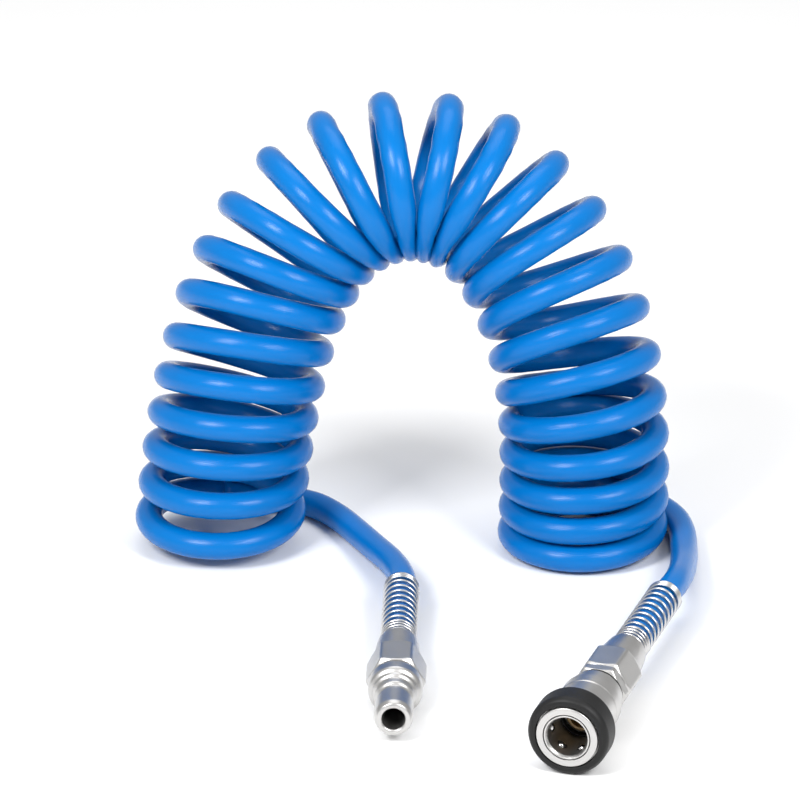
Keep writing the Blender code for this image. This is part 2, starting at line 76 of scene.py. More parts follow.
def placeCamera():
    back = direction(view["azimuth"], view["elevation"])
    camera = bpy.data.objects.new("camera", bpy.data.cameras.new("camera"))
    camera.data.lens = view["lens"]
    camera.data.clip_end = 20
    camera.location = (Vector(view["target"]) + back * view["distance"]) * mm
    camera.rotation_euler = (-back).to_track_quat("-Z", "Y").to_euler()
    scene.collection.objects.link(camera)
    scene.camera = camera


placeCamera()
scene.view_settings.view_transform = "Standard"
print("camera placed")


# shader nodes: NodeValue turns Python arithmetic into Math nodes, Finish adds the other nodes
class NodeValue:
    def __init__(self, finish, socket):
        self.finish = finish
        self.socket = socket

    def combine(self, operation, first, second):
        return self.finish.node("ShaderNodeMath", {"operation": operation}, {0: first, 1: second})

    def __add__(self, other):
        return self.combine("ADD", self, other)

    def __radd__(self, other):
        return self.combine("ADD", other, self)

    def __mul__(self, other):
        return self.combine("MULTIPLY", self, other)

    def sine(self):
        return self.finish.node("ShaderNodeMath", {"operation": "SINE"}, {0: self})

    def above(self, low, high):
        # 0 below low, 1 above high
        sockets = {"Value": self, "From Min": low, "From Max": high}
        return self.finish.node("ShaderNodeMapRange", {"clamp": True}, sockets)


class Finish:
    def __init__(self, name, **fixed):
        self.material = bpy.data.materials.new(name)
        self.material.use_nodes = True
        self.tree = self.material.node_tree
        self.shader = self.tree.nodes["Principled BSDF"]
        for socket, value in fixed.items():
            label = socket.replace("_", " ").title().replace("Ior", "IOR")
            self.shader.inputs[label].default_value = value

    def fill(self, node, socket, value):
        if isinstance(value, NodeValue):
            self.tree.links.new(value.socket, node.inputs[socket])
        else:
            node.inputs[socket].default_value = value

    def node(self, kind, settings=None, sockets=None, output=0):
        node = self.tree.nodes.new(kind)
        for name, value in (settings or {}).items():
            setattr(node, name, value)
        for socket, value in (sockets or {}).items():
            self.fill(node, socket, value)
        return NodeValue(self, node.outputs[output])

    def place(self):
        return self.node("ShaderNodeTexCoord", output="Object")

    def along(self, name, output="Fac"):
        return self.node("ShaderNodeAttribute", {"attribute_name": name}, output=output)

    def noise(self, scale, detail=2.0, where=None):
        sockets = {"Vector": where or self.place(), "Scale": scale, "Detail": detail}
        return self.node("ShaderNodeTexNoise", {}, sockets, "Fac")

    def colourBetween(self, factor, first, second):
        # a Mix node keeps its colours on sockets 6 and 7, and their mixture on output 2
        node = self.tree.nodes.new("ShaderNodeMix")
        node.data_type = "RGBA"
        self.fill(node, 0, factor)
        self.fill(node, 6, (*first, 1.0))
        self.fill(node, 7, (*second, 1.0))
        return NodeValue(self, node.outputs[2])

    def wear(self, **varying):
        for socket, value in varying.items():
            self.fill(self.shader, socket.replace("_", " ").title(), value)

    def relief(self, height, depth):
        sockets = {"Height": height, "Distance": depth, "Strength": 1.0}
        self.fill(self.shader, "Normal", self.node("ShaderNodeBump", {}, sockets))


def makeBlueHose():
    finish = Finish("bluePolyurethane", ior=1.45, specular_ior_level=0.24)
    cloud = finish.noise(60.0, 3.0)
    haze = finish.noise(900.0, 2.0)
    finish.wear(
        base_color=finish.colourBetween(cloud, (0.0, 0.125, 0.40), (0.0, 0.145, 0.46)),
        roughness=0.17 + cloud * 0.05 + haze * 0.04)
    drawn = finish.noise(28.0, 1.0, finish.along("lengthwise", "Vector"))
    finish.relief(drawn * 0.6 + haze * 0.1, 0.00004)
    return finish.material


def makeNickel():
    finish = Finish("nickelPlate", metallic=1.0)
    patches = finish.noise(140.0, 3.0)
    rings = (finish.along("axial") * 24000.0).sine()
    finish.wear(
        base_color=finish.colourBetween(patches, (0.47, 0.465, 0.455), (0.57, 0.56, 0.55)),
        roughness=0.30 + patches * 0.12)
    finish.relief(rings * 0.3 + patches, 0.000012)
    return finish.material


def makeSteel(name, low, high):
    finish = Finish(name, metallic=1.0)
    patches = finish.noise(300.0, 2.0)
    finish.wear(
        base_color=finish.colourBetween(patches, (0.50, 0.50, 0.50), (0.62, 0.61, 0.60)),
        roughness=low + patches * (high - low))
    finish.relief(patches, 0.00001)
    return finish.material


def makeRubber():
    finish = Finish("blackRubber", specular_ior_level=0.3)
    grain = finish.noise(2600.0, 3.0)
    dust = finish.noise(90.0, 3.0).above(0.45, 0.8)
    finish.wear(
        base_color=finish.colourBetween(dust, (0.005, 0.005, 0.005), (0.010, 0.010, 0.011)),
        roughness=0.42 + grain * 0.16 + dust * 0.06)
    finish.relief(grain, 0.00003)
    return finish.material


def makeBrass():
    finish = Finish("turnedBrass", metallic=1.0)
    patches = finish.noise(160.0, 3.0)
    finish.wear(
        base_color=finish.colourBetween(patches, (0.22, 0.15, 0.08), (0.36, 0.26, 0.14)),
        roughness=0.28 + patches * 0.14)
    finish.relief((finish.along("axial") * 20000.0).sine(), 0.000008)
    return finish.material


blueHose = makeBlueHose()
nickel = makeNickel()
springWire = makeSteel("springWire", 0.24, 0.34)
polishedSteel = makeSteel("polishedSteel", 0.06, 0.12)
rubber = makeRubber()
brass = makeBrass()
print("finishes made")


# curves
def smoothCurve(points, before, after, steps=24):
    # Catmull-Rom through the points; before and after steer its two ends
    knots = [Vector(p) for p in [before, *points, after]]
    curve = []
    for a, b, c, d in zip(knots, knots[1:], knots[2:], knots[3:]):
        for step in range(steps):
            t = step / steps
            curve.append(0.5 * (2 * b + (c - a) * t + (2 * a - 5 * b + 4 * c - d) * t * t
                                + (3 * b - a - 3 * c + d) * t ** 3))
    curve.append(knots[-2])
    return curve


def curveLength(curve):
    return sum((b - a).length for a, b in zip(curve, curve[1:]))


def evenly(curve, spacing):
    # points spaced along a curve, about this far apart
    count = max(2, round(curveLength(curve) / spacing))
    step = curveLength(curve) / count
    places = [curve[0]]
    travelled = 0.0
    for a, b in zip(curve, curve[1:]):
        piece = (b - a).length
        while piece > 0 and travelled + piece >= step * len(places) and len(places) < count:
            places.append(a.lerp(b, (step * len(places) - travelled) / piece))
        travelled += piece
    places.append(curve[-1])
    return places


# the wound part of the hose
coil = {
    "hoseRadius": 4.0,
    "windingRadius": 21.0,          # middle of the hose to the coil's axis
    "turns": 24,
    "pointsPerTurn": 40,
    "sides": 20,
    "tableClearance": 4.0,
    # coil axis as (x, z), from the plug side foot over the top to the coupler side foot
    "route": [
        (0.0, 0.0), (2.0, 21.1), (4.3, 38.2), (7.5, 55.1), (11.9, 71.8), (18.3, 87.8),
        (27.7, 102.1), (41.3, 112.6), (57.9, 116.4), (74.4, 111.9), (87.4, 100.8), (96.4, 86.2),
        (102.4, 70.0), (106.0, 53.2), (107.6, 36.1), (107.8, 18.8), (107.3, 0.0)],
    # at each point of the route: turns wound so far, and how far the rings lean, in degrees
    "turnsAtPoint": [-0.37, 1.61, 3.25, 4.79, 6.18, 7.55, 8.91, 10.3, 11.72, 13.25, 14.7, 15.97,
                     17.25, 18.6, 20.16, 21.96, 24.18],
    "leanAtPoint": [10, -2, -10, -17, -21, -17, -11, -4, 3, 14, 22, 24, 24, 17, 5, 0, -4],
}


def settle(z):
    # the lowest turns press flat on the table instead of passing through it
    clearance = coil["tableClearance"]
    soft = 2.0
    if z > clearance + soft:
        return z
    return clearance + max(z - clearance + soft, 0.0) ** 2 / (4 * soft)


def windCoil():
    stations = [(x, z, turn, lean) for (x, z), turn, lean
                in zip(coil["route"], coil["turnsAtPoint"], coil["leanAtPoint"])]
    first, second = Vector(stations[0]), Vector(stations[1])
    last, nextToLast = Vector(stations[-1]), Vector(stations[-2])
    axis = smoothCurve(stations, 2 * first - second, 2 * last - nextToLast)
    wound = []
    index = 0
    for count in range(coil["turns"] * coil["pointsPerTurn"] + 1):
        turn = count / coil["pointsPerTurn"]
        while axis[index + 1][2] < turn:
            index += 1
        near, far = axis[index], axis[index + 1]
        x, z, _, lean = near.lerp(far, (turn - near[2]) / (far[2] - near[2]))
        ahead = axis[min(index + 3, len(axis) - 1)] - axis[max(index - 2, 0)]
        heading = math.atan2(ahead[1], ahead[0])
        along = Vector((math.cos(heading), 0, math.sin(heading)))
        inward = Vector((math.sin(heading), 0, -math.cos(heading)))
        lean = math.radians(lean)
        rear = Vector((0, 1, 0)) * math.cos(lean) + along * math.sin(lean)
        angle = math.tau * turn + math.pi / 2
        spoke = (inward * math.cos(angle) + rear * math.sin(angle)) * coil["windingRadius"]
        place = Vector((x, 0, z)) + spoke
        place.z = settle(place.z)
        wound.append(place)
    return wound


# both fittings: where the middle of the front face stands, and the turn about Z
plugPlace = {"front": (55.5, -139.0, 7.7), "turn": 0.0, "stemTip": 50.0, "guardEnd": 90.0}
couplerPlace = {"front": (104.0, -158.2, 11.75), "turn": -16.0, "stemTip": 60.0, "guardEnd": 100.0}


def fittingMatrix(place):
    # local +Z points out of the fitting's front
    turn = Matrix.Rotation(math.radians(place["turn"]), 4, "Z")
    return Matrix.Translation(place["front"]) @ turn @ Matrix.Rotation(math.pi / 2, 4, "X")


def behindFront(place, distance):
    return fittingMatrix(place) @ Vector((0, 0, -distance))


tails = {
    "spacing": 2.5,
    "plug": [(20.6, 21.3, 4.0), (28.6, 17.4, 4.0), (35.2, 9.2, 4.0), (41.0, -2.0, 4.3),
             (46.7, -15.0, 5.2), (51.8, -28.0, 6.6), (55.0, -40.0, 7.5)],
    "coupler": [(122.4, 25.4, 4.0), (129.6, 19.5, 4.0), (134.6, 11.0, 4.0), (136.8, 0.5, 4.1),
                (137.3, -11.5, 4.6), (137.2, -24.5, 6.1), (136.4, -38.0, 8.6),
                (134.6, -51.0, 11.0)],
}


def leadTail(start, leaving, points, place):
    # a free tail, from the coil to the tip of the fitting's hose stem
    guardEnd = behindFront(place, place["guardEnd"])
    stemTip = behindFront(place, place["stemTip"])
    before = start - leaving * 12
    after = behindFront(place, 2 * place["stemTip"] - place["guardEnd"])
    return evenly(smoothCurve([start, *points, guardEnd, stemTip], before, after), tails["spacing"])


def thinning(path, perTurn):
    # where neighbouring turns would touch, the hose is pressed flat between them
    pressed = []
    for index, place in enumerate(path):
        ahead = path[index + perTurn] - place if index + perTurn < len(path) else None
        behind = place - path[index - perTurn] if index >= perTurn else None
        gaps = [gap for gap in (ahead, behind) if gap is not None]
        nearest = min(gap.length for gap in gaps)
        across = sum((gap.normalized() for gap in gaps), Vector((0, 0, 0))).normalized()
        share = min(1.0, max(0.7, nearest / (2.02 * coil["hoseRadius"])))
        pressed.append((across, share))
    return pressed


def sweepHose(name, path, pressed=()):
    radius, sides = coil["hoseRadius"], coil["sides"]
    mesh = bpy.data.meshes.new(name)
    shape = bmesh.new()
    uv = shape.loops.layers.uv.new("hose")
    lengthwise = shape.verts.layers.float_vector.new("lengthwise")
    side = (path[1] - path[0]).orthogonal().normalized()
    rings = []
    travelled = []
    for index, place in enumerate(path):
        ahead, behind = path[min(index + 1, len(path) - 1)], path[max(index - 1, 0)]
        tangent = (ahead - behind).normalized()
        side = (side - tangent * side.dot(tangent)).normalized()
        other = tangent.cross(side)
        travelled.append(travelled[-1] + (place - behind).length if index else 0.0)
        ring = []
        for number in range(sides):
            angle = math.tau * number / sides
            spoke = (side * math.cos(angle) + other * math.sin(angle)) * radius
            if index < len(pressed):
                across, share = pressed[index]
                across = (across - tangent * across.dot(tangent)).normalized()
                spoke -= across * spoke.dot(across) * (1 - share)
            vertex = shape.verts.new((place + spoke) * mm)
            vertex[lengthwise] = (math.cos(angle) * 2, math.sin(angle) * 2, travelled[-1] * mm)
            ring.append(vertex)
        rings.append(ring)
    for index, (ring, following) in enumerate(zip(rings, rings[1:])):
        for number in range(sides):
            beside = (number + 1) % sides
            corners = (ring[number], ring[beside], following[beside], following[number])
            face = shape.faces.new(corners)
            face.smooth = True
            places = ((number, index), (number + 1, index), (number + 1, index + 1),
                      (number, index + 1))
            for loop, (around, along) in zip(face.loops, places):
                loop[uv].uv = (around / sides, travelled[along] * mm)
    shape.faces.new(rings[0][::-1])
    shape.faces.new(rings[-1])
    bmesh.ops.recalc_face_normals(shape, faces=shape.faces)
    shape.to_mesh(mesh)
    shape.free()
    mesh.materials.append(blueHose)
    hose = bpy.data.objects.new(name, mesh)
    workshop.objects.link(hose)
    return hose


def inMetres(path):
    return [tuple(place * mm) for place in path]


def makeHose():
    wound = windCoil()
    pressed = thinning(wound, coil["pointsPerTurn"])
    leaving = (wound[0] - wound[1]).normalized()
    plugTail = leadTail(wound[0], leaving, tails["plug"], plugPlace)
    arriving = (wound[-1] - wound[-2]).normalized()
    couplerTail = leadTail(wound[-1], arriving, tails["coupler"], couplerPlace)

    longPath = wound + couplerTail[1:]
    longHose = sweepHose("hose_coil_and_coupler_tail", longPath, pressed)
    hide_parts("hose_coil_plug_leg", "hose_coil_plug_arch", "hose_coil_coupler_arch",
                "hose_coil_coupler_leg", "hose_tail_coupler")
    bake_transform(longHose)
    tuple(longPath[-1] * mm)
    curveLength(longPath) * mm
    inMetres(reversed(longPath))

    shortHose = sweepHose("hose_plug_tail", plugTail)
    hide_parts("hose_tail_plug")
    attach(shortHose, "plug_half")
    tuple(plugTail[-1] * mm)
    curveLength(plugTail) * mm
    inMetres(reversed(plugTail))
    print("hose wound,", round(curveLength(longPath)), "and", round(curveLength(plugTail)), "mm")


makeHose()


# fittings: turned pieces are outlined as (diameter, z, rounding), outer side first, front at z = 0
gap = 0.3
turning = {
    "steps": 120,                   # around
    "rounding": 0.2,                # usual size of a corner's curve
    "roundingSteps": 4,
    "flatStep": 0.4,                # longest step along a hexagonal piece
    "easing": 70,                   # the higher, the sharper a hexagon's edges
    "sharpAngle": 35,
    "drillSides": 32,
    "wireSides": 14,
    "springPoints": 36,             # in each turn
}


def softened(outline):
    # the outline as points (radius, z) with a small curve at each corner
    corners = [(Vector((item[0] / 2, item[1])), item[2] if len(item) > 2 else turning["rounding"])
               for item in outline]
    points = []
    for index, (corner, rounding) in enumerate(corners):
        before = corners[index - 1][0] - corner
        after = corners[(index + 1) % len(corners)][0] - corner
        reach = min(rounding, before.length * 0.45, after.length * 0.45)
        if corner.x == 0:
            points.append(corner)
            continue
        start, end = corner + before.normalized() * reach, corner + after.normalized() * reach
        for step in range(turning["roundingSteps"] + 1):
            t = step / turning["roundingSteps"]
            points.append(start * (1 - t) ** 2 + corner * 2 * t * (1 - t) + end * t * t)
    return points


def shortSteps(points, longest):
    dense = []
    for here, following in zip(points, points[1:] + points[:1]):
        count = max(1, math.ceil((following - here).length / longest))
        dense += [here.lerp(following, step / count) for step in range(count)]
    return dense


def hexRadius(radius, angle, flat):
    # the smaller of a circle and a hexagon with a flat facing down, with eased edges
    power = turning["easing"]
    facing = [math.cos(angle - math.radians(30 + 60 * side)) for side in range(6)]
    reach = sum(max(share, 0) ** power for share in facing)
    return (reach / flat ** power + radius ** -power) ** (-1 / power)


def latheMesh(name, outline, acrossFlats=None):
    points = softened(outline)
    if acrossFlats:
        points = shortSteps(points, turning["flatStep"])
    shape = bmesh.new()
    steps = turning["steps"]
    rings = []
    for radius, z in points:
        if radius == 0:
            rings.append([shape.verts.new((0, 0, z))] * steps)
            continue
        ring = []
        for number in range(steps):
            angle = math.tau * number / steps
            reach = hexRadius(radius, angle, acrossFlats / 2) if acrossFlats else radius
            ring.append(shape.verts.new((reach * math.cos(angle), reach * math.sin(angle), z)))
        rings.append(ring)
    for ring, following in zip(rings, rings[1:] + rings[:1]):
        for number in range(steps):
            beside = (number + 1) % steps
            corners = [ring[number], ring[beside], following[beside], following[number]]
            corners = list(dict.fromkeys(corners))
            if len(corners) > 2:
                shape.faces.new(corners).smooth = True
    bmesh.ops.recalc_face_normals(shape, faces=shape.faces)
    mesh = bpy.data.meshes.new(name)
    shape.to_mesh(mesh)
    shape.free()
    return mesh


def shadeByArea(mesh):
    # broad faces keep flat shading right up to their rounded edges
    normals = [Vector((0, 0, 0)) for _ in mesh.vertices]
    for polygon in mesh.polygons:
        for vertex in polygon.vertices:
            normals[vertex] += polygon.normal * polygon.area
    mesh.normals_split_custom_set_from_vertices([normal.normalized() for normal in normals])


def bakedMesh(piece):
    # what a piece's modifiers make, as a plain mesh
    graph = bpy.context.evaluated_depsgraph_get()
    return bpy.data.meshes.new_from_object(piece.evaluated_get(graph))


def drill(mesh, diameter, z, count, inner, outer):
    # radial holes, evenly spaced
    rods = bmesh.new()
    for number in range(count):
        rod = bmesh.ops.create_cone(
            rods, cap_ends=True, segments=turning["drillSides"], radius1=diameter / 2,
            radius2=diameter / 2, depth=outer - inner)["verts"]
        outward = Matrix.Translation(((inner + outer) / 2, 0, z))
        lay = (Matrix.Rotation(math.tau * number / count, 4, "Z")
               @ outward @ Matrix.Rotation(math.pi / 2, 4, "Y"))
        bmesh.ops.transform(rods, matrix=lay, verts=rod)
    cutterMesh = bpy.data.meshes.new("rods")
    rods.to_mesh(cutterMesh)
    rods.free()
    cutter = bpy.data.objects.new("rods", cutterMesh)
    blank = bpy.data.objects.new("blank", mesh)
    for item in (cutter, blank):
        workshop.objects.link(item)
    holes = blank.modifiers.new("holes", "BOOLEAN")
    holes.object = cutter
    holes.solver = "EXACT"
    drilled = bakedMesh(blank)
    bpy.data.objects.remove(cutter)
    bpy.data.objects.remove(blank)
    drilled.set_sharp_from_angle(angle=math.radians(turning["sharpAngle"]))
    return drilled


def setPiece(node, mesh, place, body, finish):
    # from the fitting's own millimetres to the frame, with what the frame needs to know
    axial = mesh.attributes.new("axial", "FLOAT", "POINT")
    for value, vertex in zip(axial.data, mesh.vertices):
        value.value = (vertex.co.z + vertex.co.xy.length) * mm
    mesh.transform(Matrix.Scale(mm, 4) @ fittingMatrix(place))
    mesh.materials.clear()
    mesh.materials.append(finish)
    piece = bpy.data.objects.new(node + "_detail", mesh)
    workshop.objects.link(piece)
    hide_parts(node)
    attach(piece, body)
    return piece


def turnPiece(node, outline, place, body, finish, acrossFlats=None):
    mesh = latheMesh(node, outline, acrossFlats)
    shadeByArea(mesh)
    return setPiece(node, mesh, place, body, finish)


# springs: a Geometry Nodes sweep of a round wire along the winding
def wireTree():
    tree = bpy.data.node_groups.new("wireSweep", "GeometryNodeTree")
    face = tree.interface
    face.new_socket("Winding", in_out="INPUT", socket_type="NodeSocketGeometry")
    face.new_socket("Wire Radius", in_out="INPUT", socket_type="NodeSocketFloat")
    face.new_socket("Finish", in_out="INPUT", socket_type="NodeSocketMaterial")
    face.new_socket("Wire", in_out="OUTPUT", socket_type="NodeSocketGeometry")
    start, end = tree.nodes.new("NodeGroupInput"), tree.nodes.new("NodeGroupOutput")
    curve = tree.nodes.new("GeometryNodeMeshToCurve")
    circle = tree.nodes.new("GeometryNodeCurvePrimitiveCircle")
    circle.inputs["Resolution"].default_value = turning["wireSides"]
    sweep = tree.nodes.new("GeometryNodeCurveToMesh")
    sweep.inputs["Fill Caps"].default_value = True
    smooth = tree.nodes.new("GeometryNodeSetShadeSmooth")
    real = tree.nodes.new("GeometryNodeRealizeInstances")
    paint = tree.nodes.new("GeometryNodeSetMaterial")
    link = tree.links.new
    link(start.outputs["Winding"], curve.inputs["Mesh"])
    link(start.outputs["Wire Radius"], circle.inputs["Radius"])
    link(curve.outputs["Curve"], sweep.inputs["Curve"])
    link(circle.outputs["Curve"], sweep.inputs["Profile Curve"])
    link(sweep.outputs["Mesh"], smooth.inputs["Geometry"])
    link(smooth.outputs["Geometry"], real.inputs["Geometry"])
    link(real.outputs["Geometry"], paint.inputs["Geometry"])
    link(start.outputs["Finish"], paint.inputs["Material"])
    link(paint.outputs["Geometry"], end.inputs["Wire"])
    return tree


wireSweep = wireTree()


def windSpring(node, stretches, top, meanRadius, wireDiameter, place, body):
    # stretches are (turns, pitch) from the front to the back
    points = []
    turn, z = 0.0, top
    for turns, pitch in stretches:
        count = round(turns * turning["springPoints"])
        for _ in range(count):
            points.append((meanRadius * math.cos(math.tau * turn),
                           meanRadius * math.sin(math.tau * turn), z))
            turn += turns / count
            z -= pitch * turns / count
    path = bpy.data.meshes.new(node)
    path.from_pydata(points, [(index, index + 1) for index in range(len(points) - 1)], [])
    winding = bpy.data.objects.new(node + "_winding", path)
    workshop.objects.link(winding)
    sweep = winding.modifiers.new("wire", "NODES")
    sweep.node_group = wireSweep
    for socket in wireSweep.interface.items_tree:
        if socket.name == "Wire Radius":
            sweep[socket.identifier] = wireDiameter / 2
        if socket.name == "Finish":
            sweep[socket.identifier] = springWire
    mesh = bakedMesh(winding)
    bpy.data.objects.remove(winding)
    return setPiece(node, mesh, place, body, springWire)


# what both fittings share: threaded end, barbed hose stem, cap nut and bend guard
joint = {
    "threadOuter": 12.0, "threadLength": 10.0,
    "stemOuter": 4.4, "stemBore": 3.0, "stemLength": 16.0,
    "nutFlats": 15.0, "nutCorners": 16.8, "nutHex": 13.0, "nutBell": 12.0, "nutEnd": 12.0,
    "nutSeat": 2.0, "guardOuter": 10.5, "wire": 0.9, "guardLength": 42.7, "hoseClear": 8.7,
}


def barbedStem(start):
    # thread first, then three barbs that hold the hose
    outer, tip = joint["stemOuter"], -start - joint["stemLength"]
    outline = [(joint["threadOuter"], -start), (outer, -start)]
    for number in range(3):
        z = -start - 3.0 - 4.0 * number
        outline += [(outer, z, 0.05), (outer - 0.3, z - 0.2, 0.05)]
    return outline + [(outer - 0.3, tip), (joint["stemBore"], tip)]


def threadTurns(start, end):
    # crests and roots of the thread
    outer = joint["threadOuter"]
    outline = [(outer, start, 0.05)]
    z = start - 0.8
    while z > end + 1.0:
        outline += [(outer, z, 0.06), (outer - 0.7, z - 0.35, 0.06), (outer, z - 0.7, 0.06)]
        z -= 1.0
    return outline


def makeNut(node, front, place, body):
    nutEnd = front - joint["nutHex"] - joint["nutBell"]
    hexEnd = front - joint["nutHex"]
    across, corners, end = joint["nutFlats"], joint["nutCorners"], joint["nutEnd"]
    threadClear = joint["threadOuter"] + 2 * gap
    seat = joint["guardOuter"] + 2 * gap
    threadEnd = front + gap - joint["threadLength"]
    outline = [
        (across - 0.4, front, 0.1), (corners + 0.6, front - 1.1, 0.3),
        (corners + 0.6, hexEnd + 1.3, 0.3), (across - 0.4, hexEnd, 0.2),
        (across - 1.0, hexEnd - 0.7, 0.4), (across - 1.3, hexEnd - 2.2, 1.2),
        (end + 0.5, nutEnd + 3.0, 2.0), (end, nutEnd + 0.6, 0.6), (end - 0.3, nutEnd, 0.3),
        (seat, nutEnd, 0.1), (seat, nutEnd + joint["nutSeat"], 0.1),
        (joint["hoseClear"], nutEnd + joint["nutSeat"], 0.1), (joint["hoseClear"], threadEnd - 3.0),
        (threadClear, threadEnd - 1.0), (threadClear, front, 0.1)]
    turnPiece(node, outline, place, body, nickel, across)
    return nutEnd


def makeGuard(node, nutEnd, place, body):
    # each stretch as (turns, pitch); the open one takes the length that is left
    wire = joint["wire"]
    closed, tight, last = (1.0, 0.98), (4.5, 1.75), (3.0, 0.95)
    openTurns = 8.5
    used = sum(turns * pitch for turns, pitch in (closed, tight, last))
    openPitch = (joint["guardLength"] - wire - used) / openTurns
    top = nutEnd + joint["nutSeat"] - gap - wire / 2
    windSpring(node, [closed, tight, (openTurns, openPitch), last], top,
               (joint["guardOuter"] - wire) / 2, wire, place, body)


plugShape = {"nose": 11.0, "bore": 6.4, "noseLength": 17.0, "groove": 9.2,
             "grooveFront": 9.9, "grooveLength": 3.0, "collar": 15.4, "collarLength": 7.0}


def makePlug():
    shape = plugShape
    nose, groove, collar = shape["nose"], shape["groove"], shape["collar"]
    grooveFront, grooveBack = -shape["grooveFront"], -shape["grooveFront"] - shape["grooveLength"]
    shoulder = -shape["noseLength"]
    threadStart = shoulder - shape["collarLength"]
    threadEnd = threadStart - joint["threadLength"]
    outline = [
        (nose - 1.5, 0.0, 0.5), (nose, -1.5, 1.2), (nose, grooveFront, 0.5),
        (groove, grooveFront - 0.9, 0.5), (groove, grooveBack, 0.5), (nose, grooveBack - 0.9, 0.5),
        (nose, shoulder + 1.0, 0.4), (nose + 1.7, shoulder + 0.2, 0.3),
        (nose + 2.0, shoulder - 0.6, 0.3), (collar - 0.8, shoulder - 1.2, 0.4),
        (collar, shoulder - 2.0, 0.5), (collar, threadStart + 1.2, 0.5),
        (collar - 1.4, threadStart, 0.3),
        *threadTurns(threadStart, threadEnd), *barbedStem(-threadEnd),
        (joint["stemBore"], threadEnd + 1.0), (shape["bore"], threadEnd + 4.0),
        (shape["bore"], -0.5, 0.4), (shape["bore"] + 0.8, 0.0, 0.3)]
    turnPiece("plug_body", outline, plugPlace, "plug_half", nickel)
    nutEnd = makeNut("plug_cap_nut", threadStart - gap, plugPlace, "plug_half")
    makeGuard("plug_spring_guard", nutEnd, plugPlace, "plug_half")


couplerShape = {
    "bore": 11.4, "depth": 17.8, "ringSeat": 13.2, "ringOuter": 17.8, "ringLength": 1.7,
    "guide": 15.2, "guideLength": 9.2, "neck": 13.8, "neckEnd": 20.0, "rear": 16.0, "length": 29.0,
    "lipBore": 9.2, "lipBack": 19.4, "chamber": 12.4, "sealSection": 0.6, "sealWidth": 2.0,
    "ballDiameter": 2.6, "ballHole": 3.0, "balls": 6, "ballPlane": 5.6, "ballCircle": 6.3,
    "sleeve": 17.8, "sleeveLength": 22.0, "flange": 19.2, "flangeLength": 5.8, "land": 15.8,
    "recess": 17.2, "landEnd": 9.5, "taperStart": 2.2, "sleeveBore": 16.6,
    "bumper": 23.5, "lip": 1.2,
    "poppetRim": 8.6, "poppetBore": 6.6, "poppetFront": 14.2, "poppetHead": 11.2,
    "headFront": 21.05,
    "headLength": 1.4, "boss": 6.0, "bossLength": 1.3, "valveSeal": 11.4, "valveSealLength": 0.9,
    "adapterFront": 25.5, "adapterBore": 9.2, "adapterBoreEnd": 31.3, "adapterFlats": 14.6,
    "adapterCorners": 16.4, "adapterHex": 3.4, "gasket": 1.0,
}


def makeCouplerBody():
    shape = couplerShape
    bore, depth, seat = shape["bore"], shape["depth"], shape["ringSeat"]
    groove = bore + 2 * shape["sealSection"]
    sealBack = -depth + 1.5
    sealFront = sealBack + shape["sealWidth"] + 2 * gap
    ringBack = -shape["ringLength"] - gap
    outline = [
        (seat, 0.0, 0.1), (seat, ringBack, 0.1), (shape["guide"], ringBack),
        (shape["guide"], -shape["guideLength"]),
        (shape["neck"], -shape["guideLength"]), (shape["neck"], -shape["neckEnd"]),
        (shape["rear"], -shape["neckEnd"], 0.4), (shape["rear"], -shape["length"], 0.5),
        (shape["chamber"], -shape["length"]), (shape["chamber"], -shape["lipBack"]),
        (shape["lipBore"], -shape["lipBack"]), (shape["lipBore"], -depth, 0.3), (bore, -depth, 0.1),
        (bore, sealBack, 0.1), (groove, sealBack, 0.1), (groove, sealFront, 0.1),
        (bore, sealFront, 0.1),
        (bore, -0.8), (bore + 1.0, 0.0, 0.15)]
    mesh = drill(latheMesh("coupler_body", outline), shape["ballHole"], -shape["ballPlane"],
                 shape["balls"], bore / 2 - 1.2, shape["guide"])
    setPiece("coupler_body", mesh, couplerPlace, "coupler_half", nickel)
    ring = [
        (shape["ringOuter"], 0.0, 0.5), (shape["ringOuter"], -shape["ringLength"]),
        (seat + 2 * gap, -shape["ringLength"]), (seat + 2 * gap, 0.0, 0.1)]
    turnPiece("mouth_ring", ring, couplerPlace, "coupler_half", nickel)
    sealFront -= gap
    outer = groove - 2 * gap
    inner = outer - 2 * shape["sealSection"]
    seal = [(outer, sealFront), (outer, sealFront - shape["sealWidth"]),
            (inner, sealFront - shape["sealWidth"]), (inner, sealFront)]
    turnPiece("mouth_seal", seal, couplerPlace, "coupler_half", rubber)


def makeBalls():
    shape = couplerShape
    for number in range(shape["balls"]):
        angle = math.tau * number / shape["balls"]
        middle = Vector((math.cos(angle), math.sin(angle), 0)) * shape["ballCircle"]
        middle.z = -shape["ballPlane"]
        ball = bmesh.new()
        bmesh.ops.create_icosphere(ball, subdivisions=4, radius=shape["ballDiameter"] / 2,
                                   matrix=Matrix.Translation(middle))
        mesh = bpy.data.meshes.new("ball")
        ball.to_mesh(mesh)
        ball.free()
        mesh.shade_smooth()
        setPiece(f"locking_ball_{number + 1}", mesh, couplerPlace, f"ball_{number + 1}",
                 polishedSteel)


